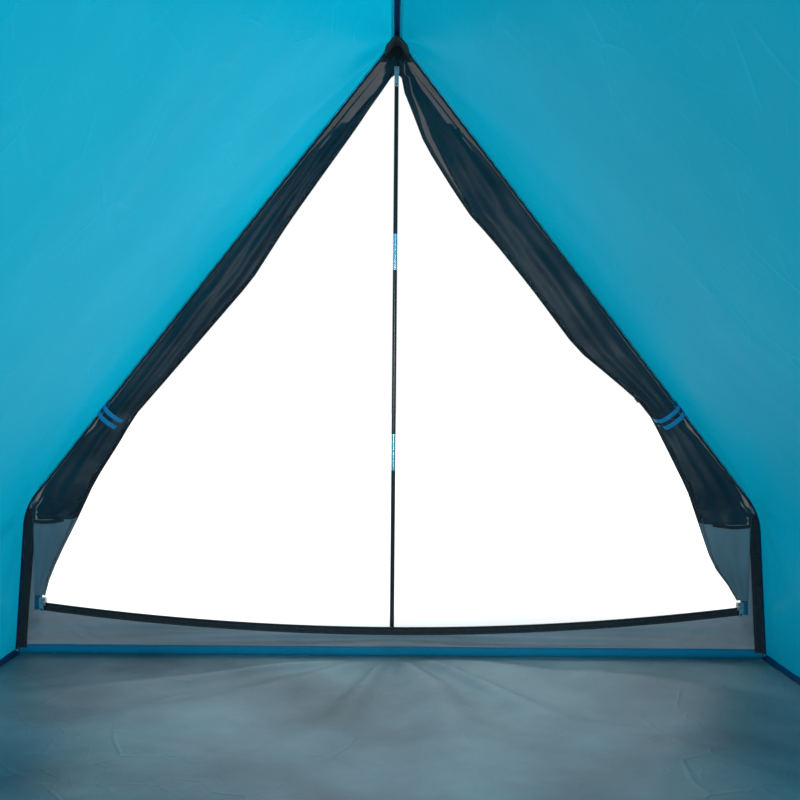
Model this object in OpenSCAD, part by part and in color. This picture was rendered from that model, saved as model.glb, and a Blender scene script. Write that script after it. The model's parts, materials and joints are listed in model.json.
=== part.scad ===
// Two-person ridge tent: a sewn body on an upright pole at each end, with a zipped mesh door.
// Millimetres, +Z up, the door faces -Y. The origin is at the middle of the floor's underside.
// Left is +X and right is -X, as seen by a person inside who looks out of the door.

/* [Tent body] */
// Length between the front and the rear gable
tent_l = 1900; // [1700:10:2200]
// Width of the floor
floor_w = 1184; // [1170:2:1240]
// Width across the eaves, where the roof meets the side walls
eave_w = 1160; // [1150:2:1170]
// Height of the eaves
eave_z = 233; // [228:1:240]
// Height of the ridge
ridge_z = 980; // [972:1:986]
// Thickness of each fabric sheet
cloth_t = 1.2; // [0.8:0.1:1.4]

/* [Door] */
// Height of the sill's zip at each side of the door
sill_side_z = 83; // [80:1:86]
// Height of the sill's zip at the middle of the door
sill_mid_z = 47; // [44:1:56]
// Half width of the doorway at the sill's zip
zip_x = 556; // [550:1:558]
// Height of the seam between the door's mesh and its fabric skirt
skirt_z = 216; // [212:1:220]
// Width of the zip's tape
zip_w = 13; // [10:1:16]
// Height of the tie that holds the left half of the mesh door
left_tie_z = 378; // [360:1:400]
// Height of the tie that holds the right half of the mesh door
right_tie_z = 386; // [360:1:400]

/* [Rear vent] */
// Height of the rear vent's lower edge
vent_z = 640; // [600:5:700]
// Length of the flap that closes the rear vent
flap_l = 300; // [240:5:300]

/* [Poles] */
// Outside diameter of the fibreglass sections
pole_d = 7.2; // [6:0.1:7.6]
// Inside diameter of the fibreglass sections
pole_bore = 4.4; // [4:0.1:4.8]
// Outside diameter of the steel ferrules
ferrule_d = 8.4; // [8.2:0.1:9]
// Length of each ferrule
ferrule_l = 58; // [50:1:64]
// How far each pole stands outside its gable
pole_off = 20; // [19:1:22]
// Diameter of the spike on top of each pole
spike_d = 4; // [3:0.5:5]

/* [Fixings] */
// Inside diameter of the peg eyelets
peg_eye_d = 10; // [8:1:12]
// Inside diameter of the guy line eyelets
guy_eye_d = 8; // [6:1:8]
// Inside diameter of the eyelets that take the poles' spikes
pole_eye_d = 9; // [8:1:10]
// Width of the webbing tabs
tab_w = 25; // [24:1:30]

/* [Hidden] */
$fn = 48;

half_l = tent_l / 2;
slope_a = atan2(ridge_z - eave_z, eave_w / 2);
slope_len = norm([eave_w / 2, ridge_z - eave_z]);
lean_a = atan2((floor_w - eave_w) / 2, eave_z);
wall_len = norm([(floor_w - eave_w) / 2, eave_z]);
sill_drop = sill_side_z - sill_mid_z;
sill_r = (zip_x * zip_x + sill_drop * sill_drop) / (2 * sill_drop);
seam = 1.5;          // space that each sheet leaves at a seam
hem_w = 16;          // width of the binding along the gables
hem_t = 3;           // thickness of that binding
panel_l = tent_l - hem_w;
roll_out = 8;        // space between the roof and a door roll
zip_edge = 6.4;      // width of the zip's tape along a door half
roll_face = 5;       // how far inside the door's plane the mesh rolls lie
tape_t = 1.2;

// Where each door half's leading edge hangs when it is tied back: [height, distance from the middle]
left_edge = [
    [92, 548], [107, 546], [150, 529], [173, 518], [216, 497], [274, 471], [337, 432], [378, 409],
    [433, 362], [594, 226], [683, 170], [752, 122], [836, 63], [882, 33], [914, 9], [928, 7]
];
right_edge = [
    [92, 547], [107, 540], [150, 507], [216, 484], [268, 466], [339, 430], [382, 408], [409, 386],
    [438, 352], [489, 289], [585, 216], [661, 154], [701, 117], [753, 82], [812, 45], [861, 26],
    [902, 9], [928, 7]
];
// Half thickness of a mesh roll, by height
roll_half = [
    [92, 3], [150, 7], [216, 10], [274, 12], [337, 11], [382, 9], [433, 11], [594, 12],
    [752, 9], [836, 6], [882, 4], [928, 2]
];
// Width and half thickness of an outer door roll, by height
outer_width = [[30, 24], [80, 20], [105, 22], [155, 38], [233, 46], [400, 42], [700, 36], [850, 20]];
outer_half = [[30, 9], [400, 10], [700, 8], [850, 4]];

pole_sections = 3;
foot_floor = 2;      // thickness under the pole in its foot
tab_z = ridge_z - 8; // height of the apex tabs' middle
pole_top = tab_z - 8;
section_l = (pole_top - foot_floor) / pole_sections;
upper_joint = pole_top - section_l;
lower_joint = pole_top - 2 * section_l;
crimp = 0.4;         // gap between two sections inside a ferrule
fit = 0.05;          // radial clearance of a section in a ferrule

blue = "#0e8fb8";
navy = "#0c3f66";
grey = "#5f6f78";
black = "#101418";
steel = "#c3cdd2";

// Half width of the tent's inside at a height
function side_x(z) =
    z > eave_z ? (ridge_z - z) / tan(slope_a) : floor_w / 2 - z * tan(lean_a);
// Height of the sill's zip at a distance from the middle: it hangs in an arc
function sill_top(x) = sill_mid_z + sill_r - sqrt(sill_r * sill_r - x * x);
// Points that lie this far below the sill's zip, from the left to the right
function sill_line(below) = [for (k = [-12:12]) [-zip_x * k / 12, sill_top(zip_x * k / 12) - below]];
// Y of a plane that lies this far outside the front gable
function front_y(out) = -(half_l + out);
// Heights that run down from one level to another in equal steps
function steps(top, bottom, n) = [for (k = [0:n]) top + (bottom - top) * k / n];
function ellipse_ring(c, hx, hy, n = 12) =
    [for (i = [0:n - 1]) c + [-hx * cos(360 * i / n), hy * sin(360 * i / n), 0]];
function box_ring(x0, x1, y0, y1, z) = [[x1, y0, z], [x0, y0, z], [x0, y1, z], [x1, y1, z]];

// A closed skin over a list of rings that run downwards, each a list of the same number of points
module skin(rings) {
    n = len(rings[0]);
    last = (len(rings) - 1) * n;
    sides = [
        for (k = [0:len(rings) - 2]) for (i = [0:n - 1])
            [k * n + i, (k + 1) * n + i, (k + 1) * n + (i + 1) % n, k * n + (i + 1) % n]
    ];
    polyhedron(
        [for (r = rings) each r],
        concat(sides, [[for (i = [0:n - 1]) i]], [[for (i = [n - 1:-1:0]) last + i]])
    );
}

// The children, and their mirror image on the right
module both_sides() {
    children();
    mirror([1, 0, 0]) children();
}

// The children, and their mirror image at the rear
module both_ends() {
    children();
    mirror([0, 1, 0]) children();
}

// A frame on the left roof at the front: +X runs down the slope, +Z is the roof's outside
module on_slope(s, inset, out) {
    translate([0, front_y(out), ridge_z])
        rotate([0, slope_a, 0])
            translate([s, 0, -inset])
                children();
}

// A frame on the left side wall at the front: +Z runs up the wall
module on_wall(z, inward, out) {
    translate([floor_w / 2, front_y(out), 0])
        rotate([0, -lean_a, 0])
            translate([-inward, 0, z])
                children();
}

// A sheet in the front gable's plane, from a drawing in X and Z, with its inner face at out
module gable_sheet(out, t) {
    translate([0, front_y(out), 0]) rotate([90, 0, 0]) linear_extrude(t) children();
}

// ---------- tent body ----------

module roof_panel() {
    color(blue)
        translate([0, 0, ridge_z]) rotate([0, slope_a, 0])
            translate([seam, -panel_l / 2, -cloth_t / 2])
                cube([slope_len - 2 * seam, panel_l, cloth_t]);
}

module side_wall() {
    color(blue)
        translate([floor_w / 2, 0, 0]) rotate([0, -lean_a, 0])
            translate([-cloth_t / 2, -panel_l / 2, seam])
                cube([cloth_t, panel_l, wall_len - 2 * seam]);
}

module rear_wall() {
    edge = 3.5;
    points = [
        [side_x(0) - edge, seam], [side_x(eave_z) - edge, eave_z],
        [side_x(vent_z) - edge, vent_z - 1]
    ];
    color(blue) mirror([0, 1, 0]) gable_sheet(-0.6, cloth_t)
        polygon(concat(points, [for (i = [2:-1:0]) [-points[i].x, points[i].y]]));
}

module rear_vent_mesh() {
    color(black) mirror([0, 1, 0]) gable_sheet(-0.5, 1)
        polygon([
            [side_x(vent_z) - 4, vent_z], [0, ridge_z - 7], [-side_x(vent_z) + 4, vent_z]
        ]);
}

module rear_vent_flap() {
    half_w = side_x(vent_z) - 12;
    color(blue) mirror([0, 1, 0]) gable_sheet(-5, cloth_t)
        difference() {
            union() {
                polygon([[half_w, vent_z - 4], [0, vent_z - 4 - flap_l], [-half_w, vent_z - 4]]);
                translate([-half_w, vent_z - 4]) square([2 * half_w, 2.5]);
            }
            translate([-20, vent_z - 4 - flap_l - 1]) square([40, 22]);
        }
}

module floor_sheet() {
    color(grey)
        translate([-floor_w / 2 + 2, -half_l + 4, 0])
            cube([floor_w - 4, tent_l - 8, cloth_t]);
}

module front_sill() {
    base_z = 17;
    top_gap = zip_w + 0.5;
    base_x = side_x(base_z) - 3.5;
    top_x = side_x(sill_side_z) - 3.5;
    top_z = sill_side_z - top_gap;
    color(grey) gable_sheet(-0.5, 1)
        polygon(concat(
            [[base_x, base_z], [top_x, top_z]], sill_line(top_gap), [[-top_x, top_z], [-base_x, base_z]]
        ));
}

module sill_band() {
    color(blue) gable_sheet(-2, 1.2)
        translate([-floor_w / 2 + 6, seam]) square([floor_w - 12, 15]);
}

module door_jamb() {
    low = sill_side_z - zip_w;
    color(grey) gable_sheet(-0.5, 1)
        polygon([
            [zip_x + 2, low], [side_x(low) - 3.5, low],
            [side_x(skirt_z) - 3.5, skirt_z], [zip_x + 2, skirt_z]
        ]);
}

module ridge_binding() {
    color(navy) both_sides()
        translate([0, 0, ridge_z]) rotate([0, slope_a, 0])
            translate([2.2, -panel_l / 2, -2.4]) cube([7, panel_l, 1.4]);
}

module gable_hem() {
    color(navy) both_sides()
        on_slope(3, hem_t / 2, hem_w / 2) cube([slope_len - 4, hem_w - 0.3, hem_t]);
}

module corner_strips() {
    color(black) both_ends() on_wall(12, 17, -2.4) cube([13, 2, wall_len - 14]);
}

// ---------- door ----------

module mesh_border() {
    color(black) on_slope(30, 12, 0.5) cube([slope_len - 42, 1, 9]);
}

module mesh_roll(edge) {
    color(black) skin([
        for (z = steps(926, skirt_z + 1, 26))
            let (
                x0 = lookup(z, edge) + zip_edge + 0.6,
                x1 = side_x(z) - roll_out,
                h = lookup(z, roll_half)
            )
            ellipse_ring([(x0 + x1) / 2, front_y(-roll_face - h), z], (x1 - x0) / 2, h)
    ]);
}

module door_skirt(edge) {
    color(grey) skin([
        for (z = steps(skirt_z - 0.5, 96, 7))
            let (
                x0 = lookup(z, edge) + 3,
                x1 = zip_x - 1,
                h = lookup(z, roll_half)
            )
            ellipse_ring([(x0 + x1) / 2, front_y(-roll_face - h), z], (x1 - x0) / 2, h)
    ]);
}

// The half of the zip that runs along a door half's leading edge
module door_zip(edge) {
    color(black) skin([
        for (z = steps(917, 93, 34))
            let (x0 = lookup(z, edge))
            box_ring(x0, x0 + zip_edge, front_y(tape_t / 2), front_y(-tape_t / 2), z)
    ]);
}

module sill_zip() {
    color(black) gable_sheet(-tape_t / 2, tape_t)
        polygon(concat(sill_line(0), [for (k = [24:-1:0]) sill_line(zip_w)[k]]));
}

// A zip's slider, with the hinge pin of its pull: the origin is on the pin
module slider(width, wedge) {
    plate_h = 12;
    ear_x = 2.4;
    color(steel) translate([0, -6, 0]) {
        for (y = [1.4, -3.4]) translate([-width / 2, y, -plate_h / 2]) cube([width, 2, plate_h]);
        translate([-wedge.x / 2, -1.6, 5.2 - wedge.y]) cube([wedge.x, 3.2, wedge.y]);
        for (x = [-ear_x - 1.2, ear_x]) translate([x, 3.2, -1.6]) cube([1.2, 4, 3.4]);
    }
    color(steel) translate([-ear_x - 1.2, 0, 0]) rotate([0, 90, 0]) cylinder(h = 2 * ear_x + 2.4, d = 1.2);
}

// The slider's pull, of a length: it hangs from the pin at the origin
module pull(l) {
    eye_d = 3.8;
    color(steel) difference() {
        union() {
            translate([-2.2, 0, 0]) rotate([0, 90, 0]) cylinder(h = 4.4, d = eye_d);
            translate([-2, -0.6, -5]) cube([4, 1.2, 4]);
            translate([-3.2, -0.6, -l]) cube([6.4, 1.2, l - 4]);
            translate([0, 0.6, -l]) rotate([90, 0, 0]) cylinder(h = 1.2, d = 6.4);
        }
        translate([-3, 0, 0]) rotate([0, 90, 0]) cylinder(h = 6, d = 1.36);
        translate([0, 1, 0.5 - l]) rotate([90, 0, 0]) cylinder(h = 2, d = 3);
    }
}

centre_pin = [0, front_y(-6), 927.5];
sill_pin = [zip_x - 4.5, front_y(-6), sill_side_z + 0.5];
centre_pull_l = 23;
sill_pull_l = 12;

// A slot shape: two round ends that are a distance apart
module slot_shape(span, r) {
    square([span, 2 * r], center = true);
    for (x = [-span / 2, span / 2]) translate([x, 0]) circle(r);
}

// A frame at the middle of a tied mesh roll: +X runs down the slope
module at_tie(z, edge) {
    x0 = lookup(z, edge) + zip_edge;
    x1 = side_x(z) - roll_out;
    at_roll((x0 + x1) / 2, z, -roll_face - 9) children();
}

// A frame at a point of the gable: +X runs down the slope
module at_roll(x, z, out) {
    drop = ridge_z - z;
    on_slope(x * cos(slope_a) + drop * sin(slope_a), drop * cos(slope_a) - x * sin(slope_a), out)
        children();
}

tie_r = 11.5;
toggle_y = -18;

module tie_loop(z, edge) {
    across = (side_x(z) - lookup(z, edge) - zip_edge - roll_out) / 2 * sin(slope_a) + 3.5;
    span = 2 * (across - tie_r);
    color("#1878ab") at_tie(z, edge) {
        for (x = [-10, 3])
            translate([x, 0, 0]) rotate([0, 90, 0]) linear_extrude(7) difference() {
                slot_shape(span, tie_r + tape_t);
                slot_shape(span, tie_r);
            }
        translate([-10, -tie_r - tape_t, -4]) cube([20, tape_t, 8]);
        translate([-10, -2, across + tape_t / 2]) cube([20, tape_t, 1]);
        translate([0, -tie_r - 0.5, 0]) rotate([90, 0, 0]) cylinder(h = 10, r = 1.2);
        translate([0, toggle_y - 3, 0]) rotate([90, 0, 0]) cylinder(h = 0.8, r = 2);
    }
}

module tie_toggle(z, edge) {
    r = 2.5;
    color(black) at_tie(z, edge) translate([0, toggle_y, 0]) difference() {
        union() {
            translate([-9, 0, 0]) rotate([0, 90, 0]) cylinder(h = 18, r = r);
            for (x = [-9, 9]) translate([x, 0, 0]) sphere(r);
        }
        rotate([90, 0, 0]) cylinder(h = 6, r = 1.3, center = true);
    }
}

module outer_door_roll() {
    color(blue) skin([
        for (z = concat(steps(850, eave_z, 10), steps(205, 30, 7)))
            let (w = lookup(z, outer_width))
            ellipse_ring([side_x(z) - 10 - w / 2, front_y(pole_off), z], w / 2, lookup(z, outer_half))
    ]);
}

module outer_door_tie(z) {
    w = lookup(z, outer_width);
    r = lookup(z, outer_half) + 1.5;
    span = max(w * sin(slope_a) - 2 * r + 4, 1);
    color(navy) at_roll(side_x(z) - 10 - w / 2, z, pole_off)
        rotate([0, 90, 0]) linear_extrude(8, center = true) difference() {
            slot_shape(span, r + tape_t);
            slot_shape(span, r);
        }
}

// ---------- fixings ----------

module apex_patch() {
    color(black) gable_sheet(-2, 1.2)
        polygon([[5, ridge_z - 12], [16, ridge_z - 37], [-16, ridge_z - 37], [-5, ridge_z - 12]]);
    color(black) gable_sheet(hem_w / 2 + 0.3, 1)
        polygon([[0, ridge_z - 3], [26, ridge_z - 36], [-26, ridge_z - 36]]);
}

module eyelet(d, flange = 4, t = 3.6) {
    color(steel) difference() {
        union() {
            cylinder(h = t, d = d + 1.6, center = true);
            for (z = [-t / 2 + 0.4, t / 2 - 0.4])
                translate([0, 0, z]) cylinder(h = 0.8, r = d / 2 + flange, center = true);
        }
        cylinder(h = 2 * t, d = d, center = true);
    }
}

// The hole that an eyelet's tube passes through
module eyelet_seat(d) {
    cylinder(h = 20, d = d + 1.8, center = true);
}

guy_out = pole_off + 19; // the apex guy eyelet's distance from the gable
side_tab_x = eave_w / 2 + 26;
peg_x = floor_w / 2 + 30;
peg_y = half_l - 16;

module apex_tab() {
    start = hem_w / 2 + 1.6;
    color(black) difference() {
        translate([-tab_w / 2, front_y(guy_out + 10), tab_z - 0.9])
            cube([tab_w, guy_out + 10 - start, 1.8]);
        translate([0, front_y(pole_off), tab_z]) eyelet_seat(pole_eye_d);
        translate([0, front_y(guy_out), tab_z]) eyelet_seat(guy_eye_d);
    }
}

module side_tab() {
    color(black) difference() {
        translate([eave_w / 2 + 2.5, -tab_w / 2, eave_z - 0.9])
            cube([side_tab_x - eave_w / 2 + 8, tab_w, 1.8]);
        translate([side_tab_x, 0, eave_z]) eyelet_seat(guy_eye_d);
    }
}

module guy_tabs() {
    both_ends() apex_tab();
    both_sides() side_tab();
}

module guy_eyelets() {
    both_ends() translate([0, front_y(guy_out), tab_z]) eyelet(guy_eye_d, 3);
    both_sides() translate([side_tab_x, 0, eave_z]) eyelet(guy_eye_d, 3);
}

module pole_eyelets() {
    both_ends() translate([0, front_y(pole_off), tab_z]) eyelet(pole_eye_d, 3);
}

module peg_tabs() {
    color(black) both_sides() both_ends() difference() {
        translate([floor_w / 2 + 1.5, -peg_y - tab_w / 2, 1.1])
            cube([peg_x - floor_w / 2 + 13, tab_w, 1.8]);
        translate([peg_x, -peg_y, 2]) eyelet_seat(peg_eye_d);
    }
}

module peg_eyelets() {
    both_sides() both_ends() translate([peg_x, -peg_y, 2]) eyelet(peg_eye_d);
}

// ---------- poles: each is drawn at the front and mirrored to the rear ----------

module at_pole(z) {
    translate([0, front_y(pole_off), z]) children();
}

module section(z0, z1) {
    color(black) at_pole(z0) difference() {
        cylinder(h = z1 - z0, d = pole_d);
        translate([0, 0, -1]) cylinder(h = z1 - z0 + 2, d = pole_bore);
    }
}

module ferrule(z) {
    groove = 0.25;
    color(steel) at_pole(z) difference() {
        cylinder(h = ferrule_l, d = ferrule_d, center = true);
        cylinder(h = ferrule_l + 2, d = pole_d + 2 * fit, center = true);
        rotate_extrude() translate([ferrule_d / 2 + 0.5, 0]) circle(0.5 + groove);
    }
}

module pole_spike() {
    color(steel) at_pole(pole_top + 0.1) {
        cylinder(h = 1.5, d = pole_d);
        translate([0, 0, 1.5]) cylinder(h = 2.5, d1 = pole_d, d2 = spike_d);
        translate([0, 0, 4]) cylinder(h = 11, d = spike_d);
        translate([0, 0, 15]) sphere(d = spike_d);
        translate([0, 0, -6]) cylinder(h = 6.1, d = pole_bore - 0.1);
    }
}

module pole_foot() {
    color(black) at_pole(0) difference() {
        union() {
            cylinder(h = 16, d = pole_d + 3.6);
            cylinder(h = 3, d = pole_d + 6);
        }
        translate([0, 0, foot_floor]) cylinder(h = 20, d = pole_d + 2 * fit);
    }
}

module shock_cord() {
    color("#202020") at_pole(5) {
        cylinder(h = pole_top - 14, d = 2.4);
        for (z = [1, pole_top - 15]) translate([0, 0, z]) sphere(d = 3.6);
    }
}

module top_section() { section(upper_joint + crimp / 2, pole_top); }
module middle_section() { section(lower_joint + crimp / 2, upper_joint - crimp / 2); }
module bottom_section() { section(foot_floor + 0.1, lower_joint - crimp / 2); }
module rear() { mirror([0, 1, 0]) children(); }
module right() { mirror([1, 0, 0]) children(); }

// ---------- nodes ----------

roof_panel();  // roof_panel_left
right() roof_panel();  // roof_panel_right
side_wall();  // side_wall_left
right() side_wall();  // side_wall_right
rear_wall();
rear_vent_mesh();
rear_vent_flap();
floor_sheet();
front_sill();
sill_band();
ridge_binding();
gable_hem();  // front_hem
rear() gable_hem();  // rear_hem
corner_strips();  // corner_strips_left
right() corner_strips();  // corner_strips_right
both_sides() door_jamb();  // door_jambs
both_sides() mesh_border();  // mesh_borders
mesh_roll(left_edge);  // mesh_roll_left
right() mesh_roll(right_edge);  // mesh_roll_right
door_skirt(left_edge);  // door_skirt_left
right() door_skirt(right_edge);  // door_skirt_right
sill_zip();
door_zip(left_edge);  // door_zip_left
right() door_zip(right_edge);  // door_zip_right
outer_door_roll();  // outer_door_roll_left
right() outer_door_roll();  // outer_door_roll_right
both_sides() for (z = [832, 420]) outer_door_tie(z);  // outer_door_ties
tie_loop(left_tie_z, left_edge);  // tie_loop_left
right() tie_loop(right_tie_z, right_edge);  // tie_loop_right
tie_toggle(left_tie_z, left_edge);  // tie_toggle_left
right() tie_toggle(right_tie_z, right_edge);  // tie_toggle_right
translate(centre_pin) slider(8, [2, 3]);  // centre_slider
translate(centre_pin) pull(centre_pull_l);  // centre_pull
translate(sill_pin) slider(10, [6, 2]);  // sill_slider_left
translate(sill_pin) pull(sill_pull_l);  // sill_pull_left
right() translate(sill_pin) slider(10, [6, 2]);  // sill_slider_right
right() translate(sill_pin) pull(sill_pull_l);  // sill_pull_right
both_ends() apex_patch();  // apex_patches
guy_tabs();
guy_eyelets();
pole_eyelets();
peg_tabs();
peg_eyelets();
top_section();  // front_pole_top_section
middle_section();  // front_pole_middle_section
bottom_section();  // front_pole_bottom_section
ferrule(upper_joint);  // front_upper_ferrule
ferrule(lower_joint);  // front_lower_ferrule
pole_spike();  // front_pole_spike
pole_foot();  // front_pole_foot
shock_cord();  // front_shock_cord
rear() top_section();  // rear_pole_top_section
rear() middle_section();  // rear_pole_middle_section
rear() bottom_section();  // rear_pole_bottom_section
rear() ferrule(upper_joint);  // rear_upper_ferrule
rear() ferrule(lower_joint);  // rear_lower_ferrule
rear() pole_spike();  // rear_pole_spike
rear() pole_foot();  // rear_pole_foot
rear() shock_cord();  // rear_shock_cord
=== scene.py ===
"""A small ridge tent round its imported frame: cloth, netting, zips, webbing and poles.

Metres, +Z up. The door faces -Y, and left is +X, as seen from inside looking out of the door.
"""

import json
import math

import bpy
import numpy as np
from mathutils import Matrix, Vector, noise


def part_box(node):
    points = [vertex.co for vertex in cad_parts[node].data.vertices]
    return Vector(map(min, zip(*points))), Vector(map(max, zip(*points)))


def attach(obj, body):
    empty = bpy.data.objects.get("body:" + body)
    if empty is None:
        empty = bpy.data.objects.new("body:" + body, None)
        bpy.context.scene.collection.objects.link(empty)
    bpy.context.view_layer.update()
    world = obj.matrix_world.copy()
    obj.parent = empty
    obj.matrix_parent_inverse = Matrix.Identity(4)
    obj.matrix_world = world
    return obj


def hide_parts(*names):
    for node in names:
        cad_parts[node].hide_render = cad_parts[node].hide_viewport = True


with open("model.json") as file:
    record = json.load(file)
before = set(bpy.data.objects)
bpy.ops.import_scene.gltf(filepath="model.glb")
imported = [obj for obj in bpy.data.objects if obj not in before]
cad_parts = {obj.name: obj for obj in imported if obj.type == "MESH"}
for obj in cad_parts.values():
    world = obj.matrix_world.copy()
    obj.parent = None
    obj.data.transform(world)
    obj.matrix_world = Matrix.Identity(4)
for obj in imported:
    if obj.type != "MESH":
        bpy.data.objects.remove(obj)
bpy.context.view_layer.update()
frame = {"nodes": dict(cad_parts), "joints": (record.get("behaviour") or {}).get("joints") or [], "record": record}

# ---------- sizes, read from the frame ----------

roof_low, roof_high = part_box("roof_panel_left")
wall_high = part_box("side_wall_left")[1]
hem_low, hem_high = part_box("front_hem")
border_low, border_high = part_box("mesh_borders")
jamb_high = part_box("door_jambs")[1]
band_low, band_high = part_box("sill_band")
zip_low, zip_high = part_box("sill_zip")
vent_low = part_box("rear_vent_mesh")[0]
flap_low, flap_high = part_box("rear_vent_flap")
floor_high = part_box("floor_sheet")[1]

GABLE = -(border_low.y + border_high.y) / 2
RIDGE_Z = roof_high.z + 0.001
EAVE_X = roof_high.x
EAVE_Z = (wall_high.z + roof_low.z) / 2
FLOOR_X = wall_high.x - 0.0006
SLOPE = (RIDGE_Z - EAVE_Z) / EAVE_X
SLOPE_LEN = math.hypot(EAVE_X, RIDGE_Z - EAVE_Z)
WALL_LEN = math.hypot(FLOOR_X - EAVE_X, EAVE_Z)
SIDE_LEN = SLOPE_LEN + WALL_LEN
CLOTH_Y = -hem_low.y - 0.002
VENT_Z = vent_low.z
# The bend between roof and wall starts this far from the eave
EAVE_ROUND = 0.03
# The net that stays along the roof beside the door
BORDER = 0.0152
# Where the door's net meets its cloth foot
SEAM_Z = jamb_high.z
# The sill's zip is an arc between the corners
ZIP_X = zip_high.x
SILL_SIDE_Z = zip_high.z
TAPE = 0.013
SILL_MID_Z = zip_low.z + TAPE
SILL_R = (ZIP_X ** 2 + (SILL_SIDE_Z - SILL_MID_Z) ** 2) / (2 * (SILL_SIDE_Z - SILL_MID_Z))
BAND_TOP = band_high.z
# One side of the door's zip
ZIP_TAPE = 0.0064

TAU = 2 * math.pi
UP = Vector((0, 0, 1))
REARWARD = Vector((0, 1, 0))
SIGN = {"left": 1, "right": -1}


def side_x(z):
    """Half width of the inside of the tent at a height."""
    if z > EAVE_Z:
        return (RIDGE_Z - z) / SLOPE
    return FLOOR_X + (EAVE_X - FLOOR_X) * z / EAVE_Z


def smooth(x):
    """0 below 0, 1 above 1 and a soft rise between."""
    x = min(1.0, max(0.0, x))
    return x * x * (3 - 2 * x)


def rough(x, y, seed=0.0):
    """Smooth noise, about -1 to 1."""
    return noise.noise(Vector((x, y, seed)))


def levels_of(node):
    """The levels of a swept CAD solid by rising height: z, nearest x, furthest x, lowest y, highest y."""
    found = {}
    for v in frame["nodes"][node].data.vertices:
        found.setdefault(round(v.co.z, 4), []).append((abs(v.co.x), v.co.y))
    rows = []
    for z in sorted(found):
        xs = [p[0] for p in found[z]]
        ys = [p[1] for p in found[z]]
        rows.append((z, min(xs), max(xs), min(ys), max(ys)))
    return np.array(rows)


def at_level(table, z, column):
    """One column of levels_of at a height."""
    return float(np.interp(z, table[:, 0], table[:, column]))


def oval_at(table, z):
    """Centre and half sizes, in X and Y, of a swept CAD solid at a height."""
    inner, outer, low, high = (at_level(table, z, column) for column in (1, 2, 3, 4))
    return (inner + outer) / 2, (low + high) / 2, (outer - inner) / 2, (high - low) / 2


def joint_place(name):
    """A point on a joint's axis."""
    return next(j for j in frame["joints"] if j["name"] == name)["pos_m"]


# ---------- mesh building ----------


class Build:
    """Collects quads and blocks for one piece."""

    def __init__(self):
        self.verts = []
        self.faces = []
        self.slots = []

    def grid(self, rows, slot=0, wrap=False):
        """Quads between rows of the same number of points. With wrap, each row is a ring."""
        base = len(self.verts)
        n = len(rows[0])
        for row in rows:
            self.verts.extend(tuple(p) for p in row)
        for i in range(len(rows) - 1):
            for j in range(n if wrap else n - 1):
                a = base + i * n + j
                b = base + i * n + (j + 1) % n
                self.faces.append((a, b, b + n, a + n))
                self.slots.append(slot)
        return base

    def cap(self, base, count, slot=0, flip=False):
        """One face over a ring of points that are already there."""
        ring = range(base, base + count)
        self.faces.append(tuple(reversed(ring)) if flip else tuple(ring))
        self.slots.append(slot)

    def loft(self, rings, slot=0):
        """A closed solid over rings of the same number of points."""
        n = len(rings[0])
        base = self.grid(rings, slot, wrap=True)
        self.cap(base, n, slot, flip=True)
        self.cap(base + n * (len(rings) - 1), n, slot)

    def pill(self, centre, along, up, length, width, height, slot=0):
        """A stitch or a zip tooth: a short block with tapered ends."""
        along, up = along.normalized(), up.normalized()
        across = along.cross(up)
        rings = []
        for t, k in ((-0.5, 0.35), (-0.3, 1.0), (0.3, 1.0), (0.5, 0.35)):
            c = centre + along * (t * length)
            rings.append([
                c + across * (a * k * width / 2) + up * (b * k * height / 2)
                for a, b in ((-1, -1), (1, -1), (1, 1), (-1, 1))
            ])
        self.loft(rings, slot)

    def piece(self, name, materials, slot, body="tent", replaces=()):
        """Makes the collected faces one object that rides a body."""
        mesh = bpy.data.meshes.new(name)
        mesh.from_pydata(self.verts, [], self.faces)
        for m in materials:
            mesh.materials.append(m)
        mesh.polygons.foreach_set("material_index", self.slots)
        mesh.polygons.foreach_set("use_smooth", [True] * len(self.faces))
        mesh.update()
        obj = bpy.data.objects.new(name, mesh)
        bpy.context.scene.collection.objects.link(obj)
        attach(obj, body)
        if replaces:
            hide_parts(*replaces)
        return obj


def one_grid(rows):
    """A sheet in one grid."""
    build = Build()
    build.grid(rows)
    return build


def tape_outline(width, thick):
    """The section of a flat tape with round edges, as (across, out) points."""
    half = width / 2
    top = [(half * k, thick / 2) for k in (0.9, 0.45, 0, -0.45, -0.9)]
    bottom = [(-a, -b) for a, b in top]
    return [(half, 0.0), *top, (-half, 0.0), *bottom]


def tape_rings(points, across, out, width, thick, ripple=0.0):
    """Rings of a tape along points, with across and out as one direction each or one for each point."""
    outline = tape_outline(width, thick)
    rings = []
    for i, p in enumerate(points):
        a = across[i] if isinstance(across, list) else across
        o = out[i] if isinstance(out, list) else out
        k = 1 + ripple * (1 if i % 2 else -1)
        rings.append([p + a * u + o * (v * k) for u, v in outline])
    return rings


def spaced(points, step):
    """The same path with points a step apart."""
    line = np.array([tuple(p) for p in points])
    along = np.concatenate([[0], np.cumsum(np.linalg.norm(np.diff(line, axis=0), axis=1))])
    at = np.linspace(0, along[-1], max(2, int(along[-1] / step) + 1))
    return [Vector([float(np.interp(a, along, line[:, k])) for k in range(3)]) for a in at]


def stitch_row(build, path, out, slot, pitch=0.0042, length=0.003):
    """A row of thread along a path, on the side that out points to."""
    points = spaced(path, pitch)
    for a, b in zip(points, points[1:]):
        build.pill((a + b) / 2 + out * 0.0002, b - a, out, length, 0.0006, 0.0005, slot)


# ---------- materials ----------


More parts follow.
